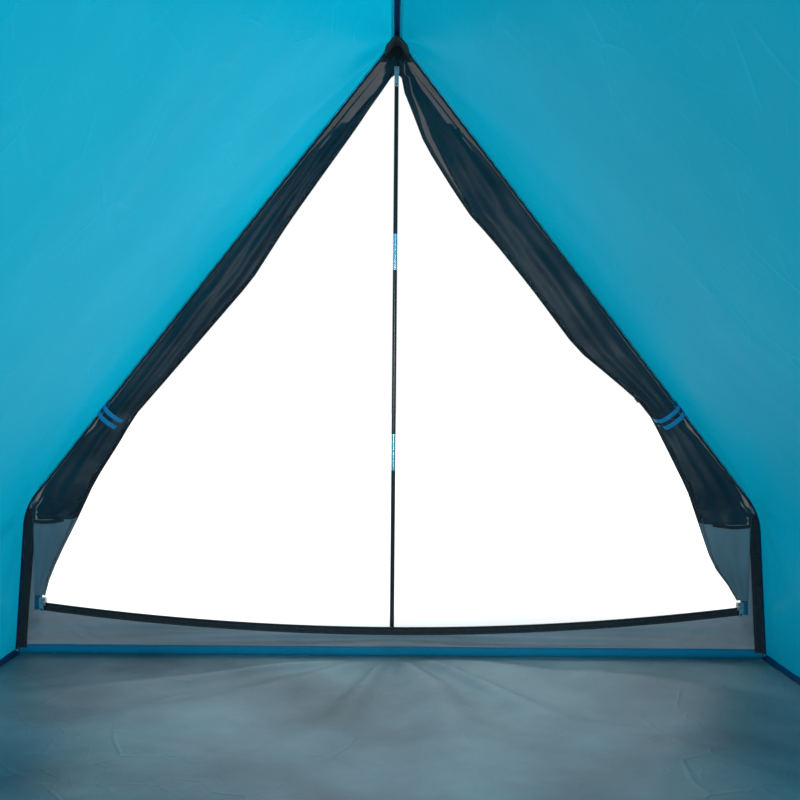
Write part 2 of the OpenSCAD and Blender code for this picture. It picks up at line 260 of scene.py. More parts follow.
class Nodes:
    """A short way to write a material's nodes."""

    def __init__(self, name):
        self.mat = bpy.data.materials.new(name)
        self.mat.use_nodes = True
        self.tree = self.mat.node_tree
        self.tree.nodes.clear()
        self.coords = self.add("ShaderNodeTexCoord").outputs["Object"]

    def add(self, kind, settings=None, **inputs):
        """A node. An input is given by its name with _ for spaces, or as iN by its number."""
        node = self.tree.nodes.new(kind)
        for key, value in (settings or {}).items():
            setattr(node, key, value)
        for key, value in inputs.items():
            name = key.replace("_", " ")
            socket = node.inputs[int(key[1:])] if key[0] == "i" and key[1:].isdigit() else node.inputs[name]
            if isinstance(value, bpy.types.NodeSocket):
                self.tree.links.new(value, socket)
            else:
                socket.default_value = value
        return node

    def noise(self, scale, detail=4.0, roughness=0.55, stretch=(1, 1, 1), offset=(0, 0, 0)):
        place = self.add("ShaderNodeMapping", Vector=self.coords, Scale=stretch, Location=offset)
        tex = self.add(
            "ShaderNodeTexNoise", Vector=place.outputs[0], Scale=scale, Detail=detail, Roughness=roughness
        )
        return tex.outputs[0]

    def remap(self, value, low, high, to_low, to_high):
        return self.add(
            "ShaderNodeMapRange", Value=value, From_Min=low, From_Max=high, To_Min=to_low, To_Max=to_high
        ).outputs[0]

    def math(self, operation, a, b=0.0):
        return self.add("ShaderNodeMath", {"operation": operation}, i0=a, i1=b).outputs[0]

    def mix(self, factor, a, b):
        node = self.add("ShaderNodeMix", {"data_type": "RGBA"}, i0=factor, i6=a, i7=b)
        return node.outputs[2]

    def weave(self, pitch):
        """A plain weave as a height from 0 to 1, with threads in all three directions of the cloth."""
        waves = []
        for axis in "XYZ":
            waves.append(self.add(
                "ShaderNodeTexWave", {"bands_direction": axis}, Vector=self.coords,
                Scale=1 / (pitch * math.pi), Distortion=0.4, Detail=1.0,
            ).outputs[1])
        return self.math("MULTIPLY", self.math("ADD", waves[0], waves[1]), waves[2])

    def creases(self, scale, width, seed=0.0):
        """Thin broken lines, as folding and packing leave in coated cloth."""
        kept = self.noise(scale * 0.7, 2.0, 0.5, offset=(seed, 0, 0))
        warp = self.add("ShaderNodeTexNoise", Vector=self.coords, Scale=scale * 0.5).outputs[1]
        shift = self.add("ShaderNodeVectorMath", {"operation": "SCALE"}, i0=warp, Scale=0.6 / scale)
        moved = self.add(
            "ShaderNodeVectorMath", {"operation": "ADD"}, i0=self.coords, i1=shift.outputs[0]
        ).outputs[0]
        edges = self.add(
            "ShaderNodeTexVoronoi", {"feature": "DISTANCE_TO_EDGE"}, Vector=moved, Scale=scale
        ).outputs["Distance"]
        line = self.remap(edges, 0.0, width, 1.0, 0.0)
        return self.math("MULTIPLY", line, self.remap(kept, 0.45, 0.6, 0.0, 1.0))

    def bump(self, height, strength, distance, normal=None):
        inputs = {"Height": height, "Strength": strength, "Distance": distance}
        if normal is not None:
            inputs["Normal"] = normal
        return self.add("ShaderNodeBump", **inputs).outputs[0]

    def finish(self, shader):
        out = self.add("ShaderNodeOutputMaterial")
        self.tree.links.new(shader.outputs[0], out.inputs["Surface"])
        return self.mat


def coated_cloth(
    name, colour, shadow, glow, through, roughness=0.42, crease=0.0005, mottle=1.0, shine=0.2, low=0.0
):
    """Thin coated taffeta.

    glow is the colour that light takes through it, through is how much passes, and low is how much painted
    shade darkens the light through the cloth down to the ground.
    """
    n = Nodes(name)
    patchy = n.remap(n.noise(3.0, 5.0), 0.35, 0.65, 0.0, mottle)
    fine = n.remap(n.noise(60.0, 3.0), 0.3, 0.7, 0.0, 1.0)
    packed = n.creases(11.0, 0.04)
    small = n.creases(31.0, 0.07, 7.0)
    tone = n.mix(patchy, colour, shadow)
    tone = n.mix(n.math("MULTIPLY", fine, 0.10), tone, shadow)
    normal = n.bump(n.noise(7.0, 4.0, 0.5), 0.5, 0.0030)
    normal = n.bump(n.noise(24.0, 4.0, 0.6), 0.5, 0.0008, normal)
    normal = n.bump(packed, 0.8, crease, normal)
    normal = n.bump(small, 0.7, crease * 0.5, normal)
    normal = n.bump(n.weave(0.0012), 0.2, 0.00008, normal)
    front = n.add(
        "ShaderNodeBsdfPrincipled", Base_Color=tone, Roughness=roughness, Specular_IOR_Level=shine,
        Normal=normal,
    )
    lit = n.mix(n.math("MULTIPLY", patchy, 0.2), glow, shadow)
    worn = n.math("MULTIPLY", n.math("ADD", packed, n.math("MULTIPLY", small, 0.7)), 0.10)
    lit = n.mix(worn, lit, tuple(min(1.0, c * 1.4 + 0.01) for c in glow[:3]) + (1,))
    # Painted shade: the light through the cloth turns toward the shadow colour down to the ground
    if low:
        height = n.add("ShaderNodeSeparateXYZ", Vector=n.coords).outputs[2]
        lit = n.mix(n.remap(height, 0.0, EAVE_Z * 3.0, low, 0.0), lit, shadow)
    back = n.add("ShaderNodeBsdfTranslucent", Color=lit, Normal=normal)
    return n.finish(n.add("ShaderNodeMixShader", i0=through, i1=front.outputs[0], i2=back.outputs[0]))


def netting(name, open_share):
    """Fine black netting, which lets a share of the light straight through each layer."""
    n = Nodes(name)
    patchy = n.remap(n.noise(9.0, 4.0), 0.35, 0.65, 0.0, 1.0)
    tone = n.mix(patchy, (0.008, 0.022, 0.034, 1), (0.020, 0.036, 0.048, 1))
    normal = n.bump(n.weave(0.0014), 0.3, 0.0001, n.bump(n.noise(30.0, 4.0), 0.7, 0.0016))
    yarn = n.add(
        "ShaderNodeBsdfPrincipled", Base_Color=tone, Roughness=0.45, Specular_IOR_Level=0.45,
        Sheen_Weight=0.25, Sheen_Roughness=0.35, Normal=normal,
    )
    gap = n.add("ShaderNodeBsdfTransparent", Color=(0.98, 0.90, 0.84, 1))
    share = n.remap(n.noise(22.0, 3.0), 0.3, 0.7, open_share * 0.82, open_share * 1.18)
    return n.finish(n.add("ShaderNodeMixShader", i0=share, i1=yarn.outputs[0], i2=gap.outputs[0]))


def ribbed_tape(name, colour, light, pitch=0.0016, roughness=0.6):
    """Narrow woven tape or webbing."""
    n = Nodes(name)
    tone = n.mix(n.remap(n.noise(120.0, 3.0), 0.35, 0.7, 0.0, 1.0), colour, light)
    normal = n.bump(n.weave(pitch), 0.7, 0.0003, n.bump(n.noise(160.0, 2.0), 0.3, 0.0003))
    return n.finish(n.add(
        "ShaderNodeBsdfPrincipled", Base_Color=tone, Roughness=roughness, Sheen_Weight=0.3,
        Sheen_Roughness=0.5, Normal=normal,
    ))


def metal(name, colour, roughness):
    """Bright metal with smudges and fine scratches."""
    n = Nodes(name)
    scratch = n.noise(900.0, 3.0, 0.6, stretch=(1, 1, 0.03))
    smudge = n.noise(90.0, 4.0)
    rough_value = n.math("ADD", n.remap(smudge, 0.3, 0.7, roughness * 0.7, roughness * 1.5),
                         n.remap(scratch, 0.3, 0.7, 0.0, 0.05))
    tone = n.mix(n.remap(smudge, 0.4, 0.7, 0.0, 0.35), colour, tuple(c * 0.7 for c in colour[:3]) + (1,))
    return n.finish(n.add(
        "ShaderNodeBsdfPrincipled", Base_Color=tone, Metallic=1.0, Roughness=rough_value,
        Normal=n.bump(scratch, 0.12, 0.0001),
    ))


def moulded(name, colour, light, roughness, grain=400.0, coat=0.0, stretch=(1, 1, 1)):
    """Plastic, rubber or fibreglass."""
    n = Nodes(name)
    wear = n.remap(n.noise(140.0, 4.0, 0.6, stretch), 0.45, 0.75, 0.0, 1.0)
    return n.finish(n.add(
        "ShaderNodeBsdfPrincipled", Base_Color=n.mix(wear, colour, light),
        Roughness=n.remap(wear, 0, 1, roughness * 0.85, roughness * 1.2), Coat_Weight=coat,
        Coat_Roughness=0.15, Normal=n.bump(n.noise(grain, 3.0, 0.5, stretch), 0.25, 0.0002),
    ))


# The taffeta's low paints shade on it, darker toward the ground
taffeta = coated_cloth(
    "taffeta", (0.003, 0.240, 0.385, 1), (0.001, 0.110, 0.190, 1), (0.001, 0.425, 0.630, 1), 0.50,
    mottle=0.35, shine=0.02, low=0.55,
)
# A bright copy of the taffeta for the turned seam edges: a painted highlight
painted_seam_highlight = coated_cloth(
    "painted_seam_highlight", (0.120, 0.620, 0.760, 1), (0.060, 0.480, 0.640, 1), (0.160, 1.000, 1.000, 1), 0.65,
)
# The outer door's cloth: the taffeta made darker and less translucent, as painted shade
outer_door_shaded_cloth = coated_cloth(
    "outer_door_cloth", (0.006, 0.200, 0.360, 1), (0.004, 0.130, 0.260, 1), (0.002, 0.300, 0.500, 1), 0.30,
)
floor_cloth = coated_cloth(
    "floor_cloth", (0.205, 0.310, 0.330, 1), (0.055, 0.110, 0.130, 1), (0.120, 0.170, 0.180, 1), 0.05,
    0.46, 0.0006, 1.0, 0.3,
)
sill_cloth = coated_cloth(
    "sill_cloth", (0.200, 0.255, 0.285, 1), (0.120, 0.165, 0.195, 1), (0.240, 0.310, 0.350, 1), 0.30,
    0.6, 0.0003,
)
skirt_cloth = coated_cloth(
    "skirt_cloth", (0.250, 0.310, 0.345, 1), (0.120, 0.180, 0.215, 1), (0.300, 0.420, 0.500, 1), 0.14,
    0.6, 0.0003,
)
band_cloth = coated_cloth(
    "band_cloth", (0.003, 0.310, 0.470, 1), (0.001, 0.220, 0.360, 1), (0.001, 0.460, 0.680, 1), 0.45,
    0.5, 0.0003,
)
navy = coated_cloth(
    "navy_binding", (0.001, 0.085, 0.215, 1), (0.001, 0.055, 0.150, 1), (0.001, 0.110, 0.270, 1), 0.35,
    0.6, 0.0003, shine=0.1,
)
door_net = netting("door_net", 0.065)
vent_net = netting("vent_net", 0.40)
tie_tape = coated_cloth(
    "tie_tape", (0.030, 0.400, 0.700, 1), (0.015, 0.290, 0.560, 1), (0.020, 0.420, 0.720, 1), 0.20,
    0.5, 0.0003,
)
webbing = ribbed_tape("webbing", (0.004, 0.005, 0.008, 1), (0.012, 0.015, 0.022, 1), 0.0022, 0.7)
zip_cloth = ribbed_tape("zip_tape", (0.003, 0.005, 0.007, 1), (0.010, 0.018, 0.022, 1), 0.0012, 0.65)
coil = moulded("zip_coil", (0.004, 0.006, 0.008, 1), (0.015, 0.02, 0.025, 1), 0.35)
thread = ribbed_tape("thread", (0.02, 0.11, 0.22, 1), (0.04, 0.17, 0.30, 1), 0.0006, 0.5)
dark_thread = ribbed_tape("dark_thread", (0.010, 0.012, 0.016, 1), (0.03, 0.035, 0.04, 1), 0.0006, 0.5)
fibreglass = moulded(
    "fibreglass", (0.004, 0.005, 0.006, 1), (0.016, 0.018, 0.020, 1), 0.28, 700.0, 0.35, (1, 1, 0.02)
)
rubber = moulded("rubber", (0.012, 0.012, 0.013, 1), (0.03, 0.03, 0.03, 1), 0.75)
plastic = moulded("toggle_plastic", (0.008, 0.008, 0.009, 1), (0.02, 0.02, 0.022, 1), 0.45)
cord_cover = ribbed_tape("shock_cord", (0.02, 0.02, 0.022, 1), (0.10, 0.10, 0.11, 1), 0.0008)
ferrule_steel = metal("ferrule_steel", (0.80, 0.84, 0.88, 1), 0.16)
slider_metal = metal("slider_metal", (0.48, 0.49, 0.51, 1), 0.34)
eyelet_metal = metal("eyelet_metal", (0.66, 0.67, 0.68, 1), 0.30)

# ---------- the tent's sides: roof panel and side wall in one sheet ----------


def side_frame(s):
    """(x, z) of the left side s metres down from the ridge, and the direction into the tent."""
    roof = Vector((EAVE_X / SLOPE_LEN, (EAVE_Z - RIDGE_Z) / SLOPE_LEN))
    wall = Vector(((FLOOR_X - EAVE_X) / WALL_LEN, -EAVE_Z / WALL_LEN))
    eave = Vector((EAVE_X, EAVE_Z))
    t = (s - SLOPE_LEN + EAVE_ROUND) / (2 * EAVE_ROUND)
    if t <= 0:
        point, way = Vector((0, RIDGE_Z)) + roof * s, roof
    elif t >= 1:
        point, way = eave + wall * (s - SLOPE_LEN), wall
    else:
        a, b = eave - roof * EAVE_ROUND, eave + wall * EAVE_ROUND
        point = a * (1 - t) ** 2 + eave * (2 * t * (1 - t)) + b * t * t
        way = (roof * (1 - t) + wall * t).normalized()
    return point, Vector((way.y, -way.x))


def ridge_sag(y):
    """How far the ridge hangs between its two poles."""
    return 0.012 * max(0.0, 1 - (y / GABLE) ** 2)


def side_relief(s, y, seed):
    """How far the cloth stands into the tent: its sag, the pull of its corners, and packing creases."""
    down = min(s / SLOPE_LEN, 1.0)
    span = max(0.0, 1 - (y / GABLE) ** 2)
    depth = 0.016 * math.sin(math.pi * down) * span
    if s > SLOPE_LEN:
        depth += 0.010 * math.sin(math.pi * (s - SLOPE_LEN) / WALL_LEN) * span
    anchors = (
        (0.0, GABLE, 0.80, 0.0042, 13),
        (SLOPE_LEN, GABLE, 0.50, 0.0040, 9),
        (SIDE_LEN, GABLE, 0.30, 0.0034, 9),
        (SLOPE_LEN, 0.0, 0.35, 0.0026, 8),
    )
    for at_s, at_y, reach, height, count in anchors:
        for end in ((-1, 1) if at_y else (1,)):
            ds, dy = s - at_s, y - end * at_y
            r = math.hypot(ds, dy)
            if r < reach:
                turn = math.atan2(ds, -end * dy)
                swing = 1.6 * rough(r * 5, turn * 2, seed + at_s)
                rays = math.sin(count * turn + swing + seed)
                depth += height * smooth(1 - r / reach) * smooth(r / 0.08) * rays
    depth += 0.0040 * rough(s * 2.5, y * 6, seed) + 0.0012 * rough(s * 6 + y * 5, y * 13, seed + 4)
    bend_s, bend_y = (0.03 * rough(s * 7, y * 7, seed + k) for k in (9, 17))
    near, _ = noise.voronoi(Vector((s + bend_s, y + bend_y, seed)) * 9.0)
    crease = smooth(1 - (near[1] - near[0]) / 0.30)
    depth += 0.0009 * crease * smooth(0.2 + 1.6 * rough(s * 3.3, y * 3.3, seed + 30))
    pucker = math.sin(TAU * y / 0.017 + 3 * rough(y * 20, 0, seed)) * math.exp(-s / 0.035)
    pucker += math.sin(TAU * s / 0.019 + 3 * rough(s * 20, 0, seed)) * math.exp(-(CLOTH_Y - abs(y)) / 0.03)
    held = smooth((s - 0.010) / 0.03) * smooth((SIDE_LEN - s) / 0.03)
    held *= smooth((CLOTH_Y - 0.024 - abs(y)) / 0.03)
    return (depth + 0.0005 * pucker) * held


def side_sheet(side):
    """Roof panel and side wall in one sheet, from the ridge to the floor."""
    sign = SIGN[side]
    seed = 3.0 if side == "left" else 41.0
    rows = []
    count_s, count_y = 190, 300
    for i in range(count_s + 1):
        s = 0.0022 + (SIDE_LEN - 0.0036) * i / count_s
        point, inward = side_frame(s)
        row = []
        for j in range(count_y + 1):
            y = CLOTH_Y * (2 * j / count_y - 1)
            depth = side_relief(s, y, seed)
            drop = ridge_sag(y) * (1 - min(s / SLOPE_LEN, 1.0)) ** 1.5
            x, z = point + inward * depth
            row.append((sign * x, y, z - drop))
        rows.append(row)
    replaced = (f"roof_panel_{side}", f"side_wall_{side}")
    obj = one_grid(rows).piece(f"side_cloth_{side}", [taffeta], "roof_taffeta", replaces=replaced)
    return obj


# ---------- bindings and hems ----------


def gable_hem(end):
    """The navy binding that closes the edge of both sides at one gable, down to the floor."""
    name = "front" if end < 0 else "rear"
    build = Build()
    middle_y = end * (hem_high.y - hem_low.y) / 2 + end * -hem_high.y
    width = hem_high.y - hem_low.y - 0.0006
    for sign in (1, -1):
        points, outs = [], []
        for i in range(261):
            s = (SIDE_LEN - 0.009) * i / 260
            point, inward = side_frame(s)
            out = Vector((sign * inward.x, 0, inward.y))
            lift = 0.0003 * math.sin(TAU * s / 0.021 + 2 * rough(s * 15, 0, sign))
            points.append(Vector((sign * point.x, middle_y, point.y)) + out * lift)
            outs.append(out)
        build.loft(tape_rings(points, REARWARD, outs, width, 0.0026), 0)
        # The inner edge of the seam, seen along the roof only, in a bright copy of the cloth as a painted
        # highlight
        roof = [(p, o) for p, o in zip(points, outs) if p.z > EAVE_Z + EAVE_ROUND]
        lip = [p + REARWARD * (-end * (width / 2 + 0.0045)) + o * 0.0009 for p, o in roof]
        build.loft(tape_rings(lip, REARWARD, [o for _, o in roof], 0.0100, 0.0008), 2)
        edge = width / 2 - 0.0028
        for shift in (-edge, edge * 0.55):
            for face in (1, -1):
                path = [p + REARWARD * shift + o * (face * 0.0015) for p, o in zip(points, outs)]
                at = spaced(path, 0.0046)
                out = Vector((-sign * 0.79 * face, 0, -0.61 * face))
                for a, b in zip(at, at[1:]):
                    build.pill((a + b) / 2, b - a, out, 0.0030, 0.0007, 0.0005, 1)
    return build.piece(
        f"{name}_hem_binding", [navy, thread, painted_seam_highlight], "navy_binding", replaces=(f"{name}_hem",)
    )


def ridge_tape():
    """A folded binding along the inside of the ridge seam."""
    build = Build()
    half, low, high = 0.0046, 0.0012, 0.0030
    tilt = half * SLOPE
    rings, left, right = [], [], []
    count = 330
    for i in range(count + 1):
        y = (GABLE + 0.004) * (2 * i / count - 1)
        z = RIDGE_Z - ridge_sag(y)
        sway = 0.0005 * rough(y * 14, 0, 2)
        outline = (
            (-half, -tilt - low), (-half * 0.5, -tilt * 0.5 - low), (0, -low),
            (half * 0.5, -tilt * 0.5 - low), (half, -tilt - low),
            (half * 0.96, -tilt - high), (half * 0.5, -tilt * 0.62 - high),
            (0, -tilt * 0.25 - high), (-half * 0.5, -tilt * 0.62 - high), (-half * 0.96, -tilt - high),
        )
        rings.append([(x + sway, y, z + h) for x, h in outline])
        left.append(Vector((half * 0.72 + sway, y, z - tilt * 0.78 - high)))
        right.append(Vector((-half * 0.72 + sway, y, z - tilt * 0.78 - high)))
    build.loft(rings, 0)
    for path, sign in ((left, 1), (right, -1)):
        stitch_row(build, path, -UP, 1)
        down, out = slope_axes(sign)
        # The turned seam beside each row, in the bright cloth of a painted highlight
        lip = [p + down * 0.0050 + out * 0.0006 for p in path[::3]]
        build.loft(tape_rings(lip, down, out, 0.0052, 0.0008), 2)
    return build.piece(
        "ridge_tape", [navy, thread, painted_seam_highlight], "navy_binding", replaces=("ridge_binding",)
    )


def floor_seam():
    """Tape over the seam between the floor and the walls, inside."""
    build = Build()
    x, y = FLOOR_X - 0.004, GABLE - 0.010

    def tape(start, finish, count, seed, out):
        """One straight run with a little slack."""
        lift = [UP * (0.0065 + 0.0008 * rough(i * 0.3, 0, seed)) for i in range(count + 1)]
        points = [start.lerp(finish, i / count) + up for i, up in enumerate(lift)]
        across = out.cross((finish - start).normalized())
        build.loft(tape_rings(points, across, out, 0.010, 0.0012), 0)

    for sign in (1, -1):
        corner = Vector((sign * x, y, 0))
        tape(corner - REARWARD * (2 * y), corner, 200, sign, Vector((-sign * 0.6, 0, 0.8)))
    tape(Vector((-x, y, 0)), Vector((x, y, 0)), 160, 7, Vector((0, -0.6, 0.8)))
    return build.piece("floor_seam_tape", [navy], "navy_binding")


# ---------- the door ----------


# How each door half hangs when it is tied back, by height. Folds are pairs of passes behind the front
# one, each a share of the roll's width. The free strip is one layer that hangs between the folds and the
# edge, and the edge fold is where the cloth turns back at the zip.
FOLDS = {
    "left": (
        ((0.78, 0.95), (0.84, 0.60), (0.910, 0.40), (0.932, 1.0)),
        ((0.60, 0.92), (0.72, 0.55), (0.85, 0.0), (0.916, 0.0), (0.934, 1.0)),
        ((0.10, 0.75), (0.43, 0.82), (0.62, 0.0), (0.920, 0.0), (0.936, 1.0)),
    ),
    "right": (
        ((0.78, 0.95), (0.84, 0.80), (0.912, 0.72), (0.932, 1.0)),
        ((0.60, 0.92), (0.74, 0.70), (0.90, 0.0), (0.916, 0.0), (0.934, 1.0)),
        ((0.10, 0.75), (0.43, 0.82), (0.66, 0.0), (0.920, 0.0), (0.936, 1.0)),
    ),
}
FREE_STRIP = {
    "left": ((0.0, 0.0), (1.0, 0.0)),
    "right": ((0.71, 0.0), (0.76, 0.005), (0.80, 0.009), (0.83, 0.008), (0.86, 0.004), (0.89, 0.0)),
}
EDGE_FOLD = {
    "left": ((0.88, 0.0), (0.90, 0.006), (0.92, 0.010)),
    "right": ((0.70, 0.002), (0.80, 0.004), (0.83, 0.006), (0.86, 0.010), (0.90, 0.012)),
}
# How far a tied half laps over its sewn edge, and the height above which it doesn't
LAP = 0.0055
LAP_TOP = 0.838
DOOR_SEED = {"left": 0.7, "right": 3.9}


def by_height(table, z):
    """A value from a table of (height, value) pairs."""
    return float(np.interp(z, [row[0] for row in table], [row[1] for row in table]))


def door_edge(table, z):
    """Where a tied door half's leading edge hangs. Above the slider both halves meet in the middle."""
    top = table[-1, 0]
    if z <= top:
        return at_level(table, z, 1)
    return max(0.0003, at_level(table, top, 1) * (1 - (z - top) / 0.006))


def door_fixed(z):
    """Where a door half is sewn to its border or jamb."""
    return min(side_x(z) - BORDER, jamb_high.x - 0.0195)


def fold_level(side, z, lead, depth):
    """One level of a tied door half, as (x, y) from its sewn edge to its leading edge.

    Also gives the span of the pass that faces into the tent, as two shares of the whole path.
    """
    seed = DOOR_SEED[side]
    fixed = door_fixed(z)
    lap = LAP * smooth((LAP_TOP - z) / 0.050) * smooth((z - EAVE_Z - 0.010) / 0.030)
    near = fixed + lap - 0.0050 * smooth((SEAM_Z + 0.012 - z) / 0.020)
    tie_x, _, tie_z = joint_place(f"toggle_{side}_turn")
    cinch = smooth(1 - abs(z - tie_z) / 0.035)
    near += (min(near, abs(tie_x) + 0.0255) - near) * cinch
    fold_edge = by_height(EDGE_FOLD[side], z)
    main = lead + by_height(FREE_STRIP[side], z) + (fold_edge if side == "right" and z > 0.7 else 0)
    main = min(main, near - 0.003)
    span = near - main
    turns = [fixed, near, main]
    for i, table in enumerate(FOLDS[side]):
        reach = span * by_height(table, z)
        back = 0.0035 * abs(rough(z * 9, i * 3.1, seed)) * min(1.0, reach / 0.01)
        stop = 0.0020 * abs(rough(z * 7, i * 5.3, seed + 5)) * min(1.0, reach / 0.01)
        turns += [main + max(reach - back, 0.0005), main + min(stop, 0.4 * reach)]
    turns += [lead, lead + max(fold_edge, 0.0004), lead + 0.0003]
    run = np.concatenate([[0], np.cumsum(np.abs(np.diff(turns)))])
    t = np.linspace(0, 1, 700)
    x = np.interp(t * run[-1], run, turns)
    front = (run[1] / run[-1], run[2] / run[-1])
    last = run[-4] / run[-1]
    y = np.interp(t, [0, front[0], last, 1.0], [0.0, depth, 0.0022, 0.0002])
    sweep = np.clip((t - front[0]) / (front[1] - front[0]), 0, 1)
    bulge = np.sin(np.pi * sweep)
    y = y + (0.0036 + 0.0009 * np.sin(TAU * 2.6 * sweep + z * 14 + seed)) * bulge * min(1.0, depth / 0.012)
    width = 9
    kernel = np.ones(width) / width
    x, y = (np.convolve(np.pad(v, width // 2, mode="edge"), kernel, mode="valid") for v in (x, y))
    length = np.concatenate([[0], np.cumsum(np.hypot(np.diff(x), np.diff(y)))])
    at = np.linspace(0, length[-1], 160)
    return np.interp(at, length, x), np.interp(at, length, y) - GABLE, front


def roll_tables(side):
    """Levels of a door half's leading edge, and of its roll."""
    lead = levels_of(f"door_zip_{side}")
    thick = np.concatenate([levels_of(f"door_skirt_{side}"), levels_of(f"mesh_roll_{side}")])
    return lead, thick


def roll_depth(thick, z):
    """How far a tied door half stands into the tent, less toward the apex."""
    share = 0.35 + 0.65 * smooth((0.925 - z) / 0.06)
    return (at_level(thick, z, 4) - at_level(thick, z, 3) + 0.003) * share


def door_half(side):
    """One half of the door, tied back: net above, grey cloth below."""
    sign = SIGN[side]
    seed = DOOR_SEED[side]
    lead_table, thick_table = roll_tables(side)
    top, bottom = lead_table[-1, 0] + 0.033, lead_table[0, 0] + 0.002
    net_rows = 180
    levels = [*np.linspace(top, SEAM_Z, net_rows), *np.linspace(SEAM_Z, bottom, 34)[1:]]
    rows = []
    for z in levels:
        x, y, _ = fold_level(side, z, door_edge(lead_table, z), roll_depth(thick_table, z))
        row = []
        for j, (px, py) in enumerate(zip(x, y)):
            t = j / (len(x) - 1)
            held = smooth(t / 0.04) * smooth((1 - t) / 0.05) * smooth((top - z) / 0.03)
            px += 0.0014 * held * rough(z * 16, t * 6, seed)
            py += 0.0030 * held * rough(z * 21, t * 9, seed + 8) * min(1.0, (py + GABLE) / 0.010)
            row.append((sign * px, max(py, -GABLE - 0.0006), z))
        rows.append(row)
    build = one_grid(rows)
    across = len(rows[0]) - 1
    build.slots = [1 if i // across >= net_rows - 1 else 0 for i in range(len(build.faces))]
    obj = build.piece(
        f"door_half_{side}", [door_net, skirt_cloth], "insect_mesh",
        replaces=(f"mesh_roll_{side}", f"door_skirt_{side}"),
    )
    return obj


def door_seam(side):
    """The dark tape that joins a door half's net to its cloth skirt."""
    lead_table, thick_table = roll_tables(side)
    x, y, front = fold_level(side, SEAM_Z, door_edge(lead_table, SEAM_Z), roll_depth(thick_table, SEAM_Z))
    first, last = int(front[0] * len(x)), int(front[1] * len(x))
    points = [Vector((SIGN[side] * x[i], y[i] + 0.0016, SEAM_Z)) for i in range(first, last + 1)]
    points = [p - UP * (0.004 * math.sin(math.pi * i / len(points))) for i, p in enumerate(points)]
    build = Build()
    up, out = Vector((0, 0.25, 1)).normalized(), Vector((0, 1, -0.25)).normalized()
    build.loft(tape_rings(points, up, out, 0.006, 0.001))
    return build.piece(f"door_seam_{side}", [zip_cloth], "zip_tape")


def leading_zip(side):
    """Half of the door's zip, along the leading edge of a door half, closed above the slider."""
    sign = SIGN[side]
    table = levels_of(f"door_zip_{side}")
    top, bottom = table[-1, 0] + 0.036, table[0, 0]
    edge = [Vector((sign * door_edge(table, z), -GABLE, z)) for z in np.linspace(top, bottom, 260)]
    step, tooth_step = 0.004, 0.0017
    points = spaced(edge, step)
    across, middles = [], []
    for i, p in enumerate(points):
        way = points[min(i + 1, len(points) - 1)] - points[max(i - 1, 0)]
        a = REARWARD.cross(way).normalized() * sign
        a = a if a.x * sign > 0 else -a
        across.append(a)
        middles.append(p + a * (ZIP_TAPE / 2))
    build = Build()
    build.loft(tape_rings(middles, across, REARWARD, ZIP_TAPE, 0.0009), 0)
    for i, p in enumerate(spaced(points, tooth_step)):
        a = across[min(int(i * tooth_step / step), len(across) - 1)]
        build.pill(p + a * (0.0012 if i % 2 else 0.0008), a, REARWARD, 0.0030, 0.0010, 0.0020, 1)
    return build.piece(f"leading_zip_{side}", [zip_cloth, coil], "zip_tape", replaces=(f"door_zip_{side}",))


def door_strips(heights, points, overlap, wave, scale, seed, lift=0.0):
    """A strip of cloth on each side, from the tent's side to the sewn edge of the door half."""
    build = Build()
    for sign in (1, -1):
        rows = []
        for z in heights:
            outer, inner = side_x(z) - 0.0008, max(door_fixed(z) - overlap, 0.0002)
            row = []
            for t in np.linspace(0, 1, points):
                y = -GABLE + wave * rough(z * 30, t * scale, seed + sign) * math.sin(math.pi * t) + lift
                row.append((sign * (outer + (inner - outer) * t), y, z))
            rows.append(row)
        build.grid(rows)
    return build


def net_borders():
    """The strips of net that stay flat along the roof beside the rolled door halves."""
    build = door_strips(np.linspace(RIDGE_Z - 0.010, EAVE_Z + 0.002, 150), 7, 0.0002, 0.0012, 2, 3)
    obj = build.piece("net_borders", [door_net], "insect_mesh", replaces=("mesh_borders",))
    return obj


def jamb_cloth():
    """The grey cloth between each corner and the foot of the door."""
    heights = np.linspace(SEAM_Z + 0.026, SILL_SIDE_Z - TAPE - 0.001, 50)
    build = door_strips(heights, 10, 0.0010, 0.0018, 3, 8, lift=0.0004)
    obj = build.piece("jamb_cloth", [skirt_cloth], "sill_cloth", replaces=("door_jambs",))
    return obj


def sill_top(x):
    """Height of the sill's zip, which hangs in an arc between the corners."""
    x = min(abs(x), ZIP_X)
    return SILL_MID_Z + SILL_R - math.sqrt(SILL_R ** 2 - x * x)


def sill_cloth_sheet():
    """The grey panel between the blue band and the sill's zip, pulled into folds toward the corners."""
    rows = []
    reach = side_x(BAND_TOP) - 0.001
    for i in range(241):
        x = reach * (2 * i / 240 - 1)
        top = sill_top(x) - TAPE + 0.002 if abs(x) < ZIP_X else SILL_SIDE_Z - TAPE
        row = []
        for j in range(17):
            t = j / 16
            z = BAND_TOP - 0.002 + (top - BAND_TOP + 0.002) * t
            pull = smooth((abs(x) - 0.36) / 0.2)
            fold = 0.0032 * math.sin(TAU * (t * 1.6 + abs(x) * 3.2) + 2.4 * rough(x * 4, t, 5))
            fold += 0.0022 * pull * math.sin(38 * math.atan2(z - top, abs(abs(x) - ZIP_X) + 0.004))
            fold += 0.0016 * rough(x * 26, t * 3, 9)
            bulge = 0.006 * math.sin(math.pi * t) * (1 - pull)
            row.append((x, -GABLE + (bulge + fold * 0.8) * smooth(t / 0.25) * smooth((1 - t) / 0.25), z))
        rows.append(row)
    obj = one_grid(rows).piece("sill_cloth_panel", [sill_cloth], "sill_cloth", replaces=("front_sill",))
    return obj


